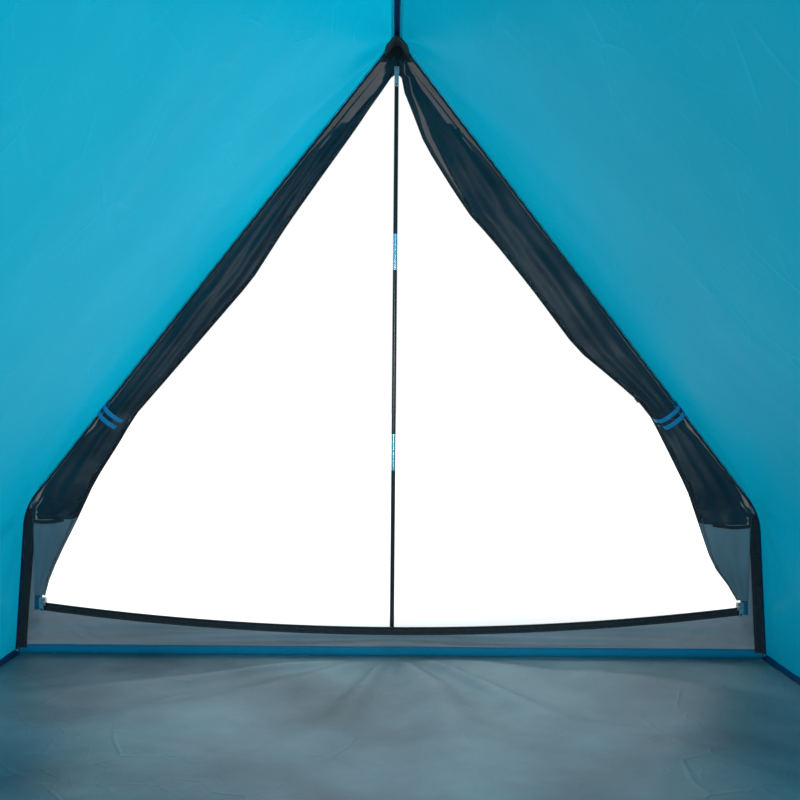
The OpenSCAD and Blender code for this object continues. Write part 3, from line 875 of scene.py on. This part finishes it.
def sill_zip_tape():
    """The sill's zip: its tape with two rows of stitches, its coil and a stop at each end."""
    build = Build()
    edge = [Vector((x, -GABLE, sill_top(x))) for x in np.linspace(-ZIP_X, ZIP_X, 281)]
    middles = [p - UP * (TAPE / 2) for p in edge]
    build.loft(tape_rings(middles, UP, REARWARD, TAPE, 0.0010), 0)
    for drop in (TAPE - 0.002, 0.0052):
        stitch_row(build, [p - UP * drop + REARWARD * 0.0006 for p in edge], REARWARD, 2)
    for i, p in enumerate(spaced([p - UP * 0.0022 for p in edge], 0.0017)):
        build.pill(p + UP * (0.0011 if i % 2 else 0.0007), UP, REARWARD, 0.0034, 0.0010, 0.0019, 1)
    for sign in (1, -1):
        stop = Vector((sign * (ZIP_X - 0.0005), -GABLE, SILL_SIDE_Z - 0.002))
        build.pill(stop, UP, REARWARD, 0.006, 0.003, 0.0034, 1)
    return build.piece("sill_zip_tape", [zip_cloth, coil, dark_thread], "zip_tape", replaces=("sill_zip",))


def sill_band_tape():
    """The blue band between the sill and the floor."""
    build = Build()
    height = BAND_TOP - band_low.z
    middle = (band_low + band_high) / 2
    points = []
    for i in range(201):
        x = (side_x(BAND_TOP) - 0.0016) * (2 * i / 200 - 1)
        wave = 0.0016 * rough(x * 9, 0, 12)
        points.append(Vector((x, middle.y + wave * 0.5, middle.z + wave * 0.6)))
    build.loft(tape_rings(points, UP, REARWARD, height, 0.0012), 0)
    stitch_row(build, [p + UP * (height / 2 - 0.002) + REARWARD * 0.0006 for p in points], REARWARD, 1)
    return build.piece("sill_band_tape", [band_cloth, thread], "blue_band", replaces=("sill_band",))


def corner_webbing(side):
    """Black webbing down the inside of the front and rear corners of one side."""
    sign = SIGN[side]
    build = Build()
    low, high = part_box(f"corner_strips_{side}")
    across = Vector((1, 0, 0))
    for end in (-1, 1):
        y = end * (max(abs(low.y), abs(high.y)) - 0.001)
        points = []
        for i in range(221):
            z = low.z + (high.z - low.z) * i / 220
            sway = 0.0012 * rough(z * 9, 0, end + sign)
            points.append(Vector((sign * (side_x(z) - 0.0092 + sway), y, z)))
        build.loft(tape_rings(points, across, REARWARD, 0.0148, 0.0019, ripple=0.10), 0)
        for shift in (-0.0045, 0.0045):
            path = [p + across * shift - REARWARD * (end * 0.001) for p in points]
            stitch_row(build, path, REARWARD * -end, 1)
    return build.piece(
        f"corner_webbing_{side}", [webbing, dark_thread], "black_webbing", replaces=(f"corner_strips_{side}",)
    )


# ---------- ties ----------


def loop_points(centre, along, across, half, depth, count=48, square=0.75, sag=0.0):
    """A flat oval round a roll.

    half is its reach across, depth its reach along Y, and sag how far the side that faces into the tent
    hangs along the roll.
    """
    points = []
    for i in range(count):
        a = TAU * i / count
        c, s = math.cos(a), math.sin(a)
        u = math.copysign(abs(c) ** square, c) * half
        v = math.copysign(abs(s) ** square, s) * depth
        points.append(centre + across * u + Vector((0, v, 0)) + along * (sag * max(0.0, s)))
    return points


def ribbon_loop(build, points, along, width, thick, slot):
    """A closed ribbon round a loop of points."""
    n = len(points)
    rings = []
    for i, p in enumerate(points):
        way = (points[(i + 1) % n] - points[i - 1]).normalized()
        out = way.cross(along).normalized()
        bow = 0.0006 * math.sin(3 * TAU * i / n)
        rings.append([p + along * (u + bow) + out * v for u, v in tape_outline(width, thick)])
    rings.append(rings[0])
    build.grid(rings, slot, wrap=True)


def slope_axes(sign):
    """Down the roof and out through it, on the left or the right."""
    length = math.hypot(1, SLOPE)
    return Vector((sign / length, 0, -SLOPE / length)), Vector((sign * SLOPE / length, 0, 1 / length))


def tie_back(side):
    """Two blue tapes round a rolled door half, sewn to the roof's hem, with the toggle's loop outside."""
    down, out = slope_axes(SIGN[side])
    x, toggle_y, z = joint_place(f"toggle_{side}_turn")
    half, depth = 0.0222, 0.0136
    middle_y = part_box(f"tie_loop_{side}")[1].y - 0.0145
    centre = Vector((x, middle_y, z))
    build = Build()
    for shift in (-0.0065, 0.0065):
        ring = loop_points(centre + down * (shift - 0.001), down, out, half, depth, square=0.9, sag=0.0085)
        ribbon_loop(build, ring, down, 0.0072, 0.0009, 0)
    behind = centre - REARWARD * (depth + 0.0002)
    for face in (-1, 1):
        bridge = [behind + down * d + out * (0.004 * face) for d in (-0.0095, 0, 0.0095)]
        build.loft(tape_rings(bridge, out, REARWARD, 0.006, 0.0009), 0)
    sewn = [centre + out * (half - 0.0005) + down * d for d in (-0.011, 0.0, 0.011)]
    build.loft(tape_rings(sewn, REARWARD, out, 0.012, 0.0012), 0)

    def turned(profile, count):
        """A round solid along Y, from pairs of a place and a radius."""
        angles = [TAU * i / count for i in range(count)]
        round_ways = [down * math.cos(a) + out * math.sin(a) for a in angles]
        build.loft([[Vector((x, y, z)) + way * r for way in round_ways] for y, r in profile], 1)

    start, knot = middle_y - depth, toggle_y - 0.0030
    turned([(y, 0.00115) for y in (start, (start + toggle_y) / 2, knot)], 10)
    turned([(knot, 0.0012), (knot - 0.0003, 0.0020), (knot - 0.0009, 0.0021), (knot - 0.0013, 0.0012)], 12)
    return build.piece(f"tie_back_{side}", [tie_tape, cord_cover], "tie_tape", replaces=(f"tie_loop_{side}",))


def outer_roll(side):
    """A half of the outer door, rolled up outside beside the doorway."""
    sign = SIGN[side]
    table = levels_of(f"outer_door_roll_{side}")
    bottom, top = table[0, 0], table[-1, 0]
    rows = []
    turns = 4.2
    for z in np.linspace(top, bottom, 110):
        cx, cy, hx, hy = oval_at(table, z)
        hx, hy = hx - 0.0015, hy - 0.0008
        row = []
        for i in range(170):
            t = i / 169
            a = TAU * turns * t + 0.5 + 0.35 * rough(z * 4, 0, sign)
            r = 1 - 0.86 * t
            lump = 1 + 0.06 * rough(z * 22, t * 14, 6 + sign) * (1 - t)
            row.append((sign * (cx + hx * r * lump * math.cos(a)), cy + hy * r * lump * math.sin(a), z))
        rows.append(row)
    obj = one_grid(rows).piece(
        f"outer_door_{side}", [outer_door_shaded_cloth], "outer_door_cloth", replaces=(f"outer_door_roll_{side}",)
    )
    return obj


def outer_ties():
    """The tapes round the outer door's rolls, each knotted outside with two loose ends."""
    build = Build()
    for side, sign in SIGN.items():
        down, out = slope_axes(sign)
        table = levels_of(f"outer_door_roll_{side}")
        for z in (0.832, 0.420):
            cx, cy, hx, hy = oval_at(table, z)
            centre = Vector((sign * cx, cy, z))
            half = hx * SLOPE / math.hypot(1, SLOPE) + 0.0022
            depth = hy + 0.0018
            ring = loop_points(centre, down, out, half, depth, 40)
            ribbon_loop(build, ring, down, 0.008, 0.0010, 0)
            knot = centre - REARWARD * (depth + 0.0010)
            for tilt in (-0.5, 0.5):
                way = (out + down * tilt).normalized()
                reaches = (-0.001, 0.006, 0.013, 0.020)
                ends = [knot + way * (d - 0.004) - REARWARD * (0.08 * abs(d)) for d in reaches]
                across = way.cross(REARWARD).normalized()
                build.loft(tape_rings(ends, across, REARWARD, 0.006, 0.0009), 0)
    return build.piece("outer_tie_tapes", [navy], "navy_binding", replaces=("outer_door_ties",))


# ---------- rear ----------


def rear_sheet(name, low, high, material, slot, node, seed, sag=0.006, count=120):
    """A stretched part of the rear wall between two heights, with the pull of the floor's corners."""
    inset = 0.0008
    rows = []
    for i in range(count + 1):
        z = low + (high - low) * i / count
        half = max(side_x(z) - inset, 0.0006)
        row = []
        for j in range(count + 1):
            t = 2 * j / count - 1
            x = half * t
            held = smooth((1 - abs(t)) / 0.06) * smooth((z - low) / 0.02) * smooth((high - z) / 0.02)
            depth = sag * (1 - t * t) * math.sin(math.pi * (z - low) / (high - low))
            depth += 0.0030 * rough(x * 6, z * 4, seed) + 0.0012 * rough(x * 19, z * 13, seed + 3)
            for corner in (-1, 1):
                dx = x - corner * FLOOR_X
                r = math.hypot(dx, z)
                rays = math.sin(11 * math.atan2(z, -corner * dx))
                depth += 0.0028 * smooth(1 - r / 0.4) * smooth(r / 0.06) * rays
            row.append((x, GABLE - depth * held * min(1.0, half / 0.05), z))
        rows.append(row)
    obj = one_grid(rows).piece(name, [material], slot, replaces=(node,))
    return obj


def vent_seam():
    """Binding along the lower edge and the two upper edges of the rear vent's net."""
    build = Build()

    def bind(start, finish, across, width, thick):
        """One stitched run, on the inside of the wall."""
        points = spaced([start, finish], 0.006)
        build.loft(tape_rings(points, across, -REARWARD, width, thick), 0)
        stitch_row(build, [p - REARWARD * (thick / 2) for p in points], -REARWARD, 1)

    y = GABLE - 0.0012
    half = side_x(VENT_Z) - 0.003
    bind(Vector((-half, y, VENT_Z)), Vector((half, y, VENT_Z)), UP, 0.012, 0.0012)
    for sign in (1, -1):
        down, out = slope_axes(sign)
        start = Vector((0, y, RIDGE_Z)) + down * 0.012 - out * 0.0075
        length = (RIDGE_Z - VENT_Z) / math.sin(math.atan(SLOPE)) - 0.016
        bind(start, start + down * length, out, 0.010, 0.0010)
    return build.piece("vent_binding", [navy, thread], "navy_binding")


def vent_flap():
    """The flap that hangs below the rear vent, with its binding."""
    top, bottom = flap_high.z, flap_low.z
    full = (flap_high.x - flap_low.x) / 2
    y = (flap_low.y + flap_high.y) / 2
    rows, edges = [], ([], [])
    tip = 0.018
    for i in range(91):
        t = i / 90
        z = top + (bottom - top) * t
        half = full + (tip - full) * t
        row = []
        for j in range(81):
            k = 2 * j / 80 - 1
            curl = 0.004 * math.sin(math.pi * t) * (1 - k * k) + 0.0026 * rough(k * full * 9, z * 7, 61)
            curl += 0.0018 * math.sin(9 * k + 3 * t) * t
            row.append(Vector((half * k, y - curl * smooth(t / 0.08), z)))
        rows.append(row)
        edges[0].append(row[0])
        edges[1].append(row[-1])
    cloth = one_grid(rows).piece(
        "vent_flap_cloth", [taffeta], "roof_taffeta", body="vent_flap", replaces=("rear_vent_flap",)
    )
    trim = Build()
    for edge in (*edges, rows[-1], rows[0]):
        points = spaced(edge, 0.006)
        across = (points[-1] - points[0]).cross(-REARWARD).normalized()
        trim.loft(tape_rings(points, across, -REARWARD, 0.008, 0.0016), 0)
    trim_piece = trim.piece("vent_flap_binding", [navy], "navy_binding", body="vent_flap")
    return cloth


# ---------- floor ----------


def floor_relief(x, y):
    """Slack of the groundsheet: soft folds that run from the door's middle, and packing creases."""
    r = math.hypot(x, y + GABLE)
    turn = math.atan2(y + GABLE, x)
    fan = 0.5 + 0.5 * math.sin(15 * turn + 2.6 * rough(r * 3, turn * 2, 71))
    h = 0.0110 * fan ** 1.6 * smooth(1 - r / 1.3) * smooth(r / 0.12)
    h += 0.0080 * smooth(rough(x * 4, y * 2.6, 72) * 0.9 + 0.35)
    h += 0.0026 * smooth(rough(x * 9, y * 5, 73) * 0.9 + 0.4)
    bent = Vector((x + 0.04 * rough(x * 6, y * 6, 75), y + 0.04 * rough(x * 6, y * 6, 76), 0))
    near, _ = noise.voronoi(bent * 6.0)
    h += 0.0012 * smooth(1 - (near[1] - near[0]) / 0.28)
    return h


def floor_sheet():
    """The groundsheet, a little above the ground, with its edges turned up into the seams."""
    rows = []
    half_x, half_y = floor_high.x + 0.0012, GABLE + 0.0016
    nx, ny = 170, 270
    edges = [half_y, half_y - 0.0008, half_y - 0.0016]
    inner = half_y - 0.003
    levels = [-e for e in edges] + [inner * (2 * i / ny - 1) for i in range(ny + 1)] + edges[::-1]
    for y in levels:
        row = []
        for j in range(nx + 1):
            x = half_x * (2 * j / nx - 1)
            from_side, from_end = half_x - abs(x), half_y - abs(y)
            held = smooth(from_side / 0.04) * smooth((from_end - 0.004) / 0.10)
            lip = 0.006 * smooth(1 - from_end / 0.0016) + 0.002 * smooth(1 - from_side / 0.002)
            row.append((x, y, 0.0012 + lip + floor_relief(x, y) * held))
        rows.append(row)
    obj = one_grid(rows).piece("groundsheet", [floor_cloth], "floor_cloth", replaces=("floor_sheet",))
    return obj


# ---------- apex patches and tabs ----------


def patch(build, corners, y, out, thick):
    """A sewn triangle of webbing with its stitches, between a low edge and a blunt top."""
    (x0, z0), (x1, z1) = corners
    section = ((1, 0), (0.92, 1), (0.3, 1.25), (-0.3, 1.25), (-0.92, 1), (-1, 0), (-0.92, -1), (0.92, -1))
    rings = []
    count = 16
    for i in range(count + 1):
        t = i / count
        z = z0 + (z1 - z0) * t
        half = x0 + (x1 - x0) * t
        bow = 0.0005 * math.sin(math.pi * t * 3)
        rings.append([Vector((u * half, y + out * (v * thick / 2 + bow), z)) for u, v in section])
    build.loft(rings, 0)
    inset = 0.003
    face_y = y + out * thick * 0.6
    left, right = (Vector((sign * (x0 - inset), face_y, z0 + inset)) for sign in (1, -1))
    top_left, top_right = (Vector((sign * max(x1 - inset, 0.001), face_y, z1 - inset)) for sign in (1, -1))
    for path in ((left, top_left), (right, top_right), (right, left)):
        stitch_row(build, path, REARWARD * out, 1, 0.003, 0.0022)


def ridge_cap(build, end):
    """Webbing folded over the end of the ridge seam, on the underside of the roof."""
    half, reach, thick = 0.0185, 0.052, 0.0016

    def drop_at(x):
        """How far below the ridge's own height the rounded underside of the seam lies."""
        return math.hypot(x * SLOPE, 0.0075)

    rings = []
    for i in range(15):
        t = i / 14
        y = end * (GABLE + 0.006 - reach * t)
        ring = []
        for layer in (0, 1):
            for j in range(17):
                k = (2 * j / 16 - 1) * (1 if layer == 0 else -1)
                x = half * k * (1 - 0.12 * smooth((t - 0.8) / 0.2))
                drop = drop_at(x) + 0.0042 + layer * thick + 0.0006 * rough(x * 90, y * 60, 5)
                ring.append((x, y, RIDGE_Z - ridge_sag(y) - drop))
        rings.append(ring)
    build.loft(rings, 0)
    for sign in (1, -1):
        for k in (0.12, 0.8):
            x = half * k
            z = RIDGE_Z - drop_at(x) - 0.0060
            path = [Vector((sign * x, end * (GABLE + 0.002 - d), z)) for d in (0.0, 0.017, 0.034)]
            stitch_row(build, path, Vector((-sign * 0.5, 0, -0.8)), 1, 0.003, 0.0022)


def apex_webbing():
    """The patches that strengthen both ends of the ridge: folded over the seam, inside and outside."""
    build = Build()
    for end in (-1, 1):
        ridge_cap(build, end)
        inside = ((0.016, RIDGE_Z - 0.037), (0.0058, RIDGE_Z - 0.012))
        outside = ((0.026, RIDGE_Z - 0.036), (0.004, RIDGE_Z - 0.004))
        patch(build, inside, end * (GABLE - 0.0016), -end, 0.0014)
        patch(build, outside, end * (GABLE + 0.0088), end, 0.0012)
    return build.piece("apex_webbing", [webbing, dark_thread], "black_webbing", replaces=("apex_patches",))


TAB_WIDTH = 0.025


def holed_cell(build, low, high, hole, radius, z, thick=0.0018, slot=0):
    """A flat cell of webbing from low to high in X and Y, with a round hole through it."""
    count = 32

    def to_edge(way, axis):
        """How far the cell's edge is from the hole along a direction, as one axis limits it."""
        if abs(way) < 1e-6:
            return math.inf
        return ((high if way > 0 else low)[axis] - hole[axis]) / way

    def face(level):
        """Rings from the hole to the cell's edge."""
        rings = []
        for k in (0.0, 0.35, 0.7, 1.0):
            ring = []
            for i in range(count):
                c, s = math.cos(TAU * i / count), math.sin(TAU * i / count)
                r = radius + (min(to_edge(c, 0), to_edge(s, 1)) - radius) * k
                ring.append(Vector((hole[0] + c * r, hole[1] + s * r, level)))
            rings.append(ring)
        return rings

    top, bottom = face(z + thick / 2), face(z - thick / 2)
    build.grid([bottom[0], top[0]], slot, wrap=True)
    build.grid(top, slot, wrap=True)
    build.grid(list(reversed(bottom)), slot, wrap=True)
    build.grid([top[-1], bottom[-1]], slot, wrap=True)


def bar_tack(build, centre, along):
    """A block of close stitches across the upper face of a webbing tab."""
    across = Vector((-along.y, along.x, 0))
    for i in range(-3, 4):
        place = Vector(centre) + along * (i * 0.0009) + UP * 0.0011
        build.pill(place, across, UP, 0.020, 0.0007, 0.0007, 1)


def guy_webbing():
    """The tabs for the guy lines, where the two on the ridge also hold the poles' spikes."""
    build = Build()
    places = {m["name"]: m["pos_m"] for m in frame["record"]["mounts"]}
    pole_y = abs(joint_place("front_pole_swing")[1])
    half = TAB_WIDTH / 2
    for name, end in (("guy_eyelet_front", -1), ("guy_eyelet_rear", 1)):
        _, y, z = places[name]
        guy_y = abs(y)
        split = (pole_y + guy_y) / 2
        start, stop = GABLE + 0.0098, guy_y + 0.0096
        for a, b, hole, radius in ((start, split, pole_y, 0.0054), (split, stop, guy_y, 0.0049)):
            low_y, high_y = sorted((end * a, end * b))
            holed_cell(build, (-half, low_y), (half, high_y), (0.0, end * hole), radius, z)
        bar_tack(build, (0, end * (start + 0.0015), z), REARWARD)
    for name, sign in (("guy_eyelet_left", 1), ("guy_eyelet_right", -1)):
        x, y, z = places[name]
        low_x, high_x = sorted((sign * (EAVE_X + 0.0027), x + sign * 0.0078))
        holed_cell(build, (low_x, -half), (high_x, half), (x, y), 0.0049, z)
        bar_tack(build, (sign * (EAVE_X + 0.009), 0, z), Vector((1, 0, 0)))
    return build.piece("guy_webbing", [webbing, dark_thread], "black_webbing", replaces=("guy_tabs",))


def peg_webbing():
    """The tabs at the four corners of the floor."""
    build = Build()
    for m in frame["record"]["mounts"]:
        if m["name"].startswith("peg"):
            x, y, z = m["pos_m"]
            sign = 1 if x > 0 else -1
            low_x, high_x = sorted((sign * (FLOOR_X + 0.0018), x + sign * 0.0128))
            low_y, high_y = y - TAB_WIDTH / 2, y + TAB_WIDTH / 2
            holed_cell(build, (low_x, low_y), (high_x, high_y), (x, y), 0.0059, z)
            bar_tack(build, (sign * (FLOOR_X + 0.012), y, z), Vector((1, 0, 0)))
    return build.piece("peg_webbing", [webbing, dark_thread], "black_webbing", replaces=("peg_tabs",))


# ---------- carried-over CAD parts ----------


def dress(node, material):
    """Gives a CAD node that stays visible its material."""
    obj = frame["nodes"][node]
    if not obj.material_slots:
        obj.data.materials.append(material)
    for s in obj.material_slots:
        s.material = material


def dress_cad():
    for end in ("front", "rear"):
        for part in ("top", "middle", "bottom"):
            dress(f"{end}_pole_{part}_section", fibreglass)
        for part in ("upper_ferrule", "lower_ferrule", "pole_spike"):
            dress(f"{end}_{part}", ferrule_steel)
        dress(f"{end}_pole_foot", rubber)
        dress(f"{end}_shock_cord", cord_cover)
    for part in ("slider", "pull"):
        for node in (f"centre_{part}", f"sill_{part}_left", f"sill_{part}_right"):
            dress(node, slider_metal)
    for place in ("guy", "pole", "peg"):
        dress(f"{place}_eyelets", eyelet_metal)
    for side in SIGN:
        dress(f"tie_toggle_{side}", plastic)


# ---------- stage, light and camera ----------


def stage_material():
    """The pale floor, with a faint mottle."""
    n = Nodes("stage")
    tone = n.mix(n.remap(n.noise(0.8, 3.0), 0.3, 0.7, 0, 1), (0.90, 0.90, 0.89, 1), (0.94, 0.94, 0.935, 1))
    return n.finish(n.add("ShaderNodeBsdfPrincipled", Base_Color=tone, Roughness=0.9))


def build_stage():
    """A pale floor under the tent."""
    size, z = 30.0, -0.0005
    corners = [(-size, -size, z), (size, -size, z), (size, size, z), (-size, size, z)]
    mesh = bpy.data.meshes.new("stage_floor")
    mesh.from_pydata(corners, [], [(0, 1, 2, 3)])
    mesh.materials.append(stage_material())
    obj = bpy.data.objects.new("stage_floor", mesh)
    bpy.context.scene.collection.objects.link(obj)


def lamp(name, kind, energy, place=(0, 0, 0), tilt=(0, 0, 0), **settings):
    """A light with its tilt in degrees."""
    data = bpy.data.lights.new(name, kind)
    data.energy = energy
    for key, value in settings.items():
        setattr(data, key, value)
    obj = bpy.data.objects.new(name, data)
    obj.location = place
    obj.rotation_euler = [math.radians(a) for a in tilt]
    bpy.context.scene.collection.objects.link(obj)


def build_light():
    """A white studio with a soft sun, a fill before the door and a weak lamp inside the tent."""
    world = bpy.data.worlds.new("studio")
    bpy.context.scene.world = world
    world.use_nodes = True
    world.node_tree.nodes["Background"].inputs["Color"].default_value = (1.0, 1.0, 1.0, 1)
    world.node_tree.nodes["Background"].inputs["Strength"].default_value = 1.02
    lamp("key", "SUN", 2.1, tilt=(-24, 34, 0), angle=math.radians(22))
    lamp("front_fill", "AREA", 30, (0.0, -3.6, 3.0), shape="DISK", size=3.0)
    lamp(
        "inner_fill", "AREA", 1.5, (0.0, 0.78, RIDGE_Z * 0.55), (-74, 0, 0), shape="DISK", size=0.5,
        spread=math.radians(70),
    )
    scene = bpy.context.scene
    scene.view_settings.view_transform = "Standard"
    scene.view_settings.look = "None"
    scene.view_settings.exposure = 0.0


def build_camera():
    """The camera stands inside the tent, near its rear, and looks out of the door."""
    data = bpy.data.cameras.new("camera")
    data.sensor_width = 36.0
    data.lens = 45.2
    data.clip_start = 0.02
    cam = bpy.data.objects.new("camera", data)
    cam.location = (0.0, -GABLE + 1.59, 0.405)
    cam.rotation_mode = "XYZ"
    cam.rotation_euler = (math.radians(90.05), math.radians(-0.5), math.radians(179.65))
    bpy.context.scene.collection.objects.link(cam)
    bpy.context.scene.camera = cam


build_camera()
build_light()
build_stage()

for side in SIGN:
    side_sheet(side)
    door_half(side)
    door_seam(side)
    leading_zip(side)
    corner_webbing(side)
    tie_back(side)
    outer_roll(side)
gable_hem(-1)
gable_hem(1)
ridge_tape()
floor_seam()
net_borders()
jamb_cloth()
sill_cloth_sheet()
sill_zip_tape()
sill_band_tape()
outer_ties()
rear_sheet("rear_cloth", 0.0015, VENT_Z - 0.001, taffeta, "roof_taffeta", "rear_wall", 81)
rear_sheet(
    "vent_net_panel", VENT_Z, RIDGE_Z - 0.006, vent_net, "insect_mesh", "rear_vent_mesh", 83,
    sag=0.003, count=70,
)
vent_seam()
vent_flap()
floor_sheet()
apex_webbing()
guy_webbing()
peg_webbing()
dress_cad()
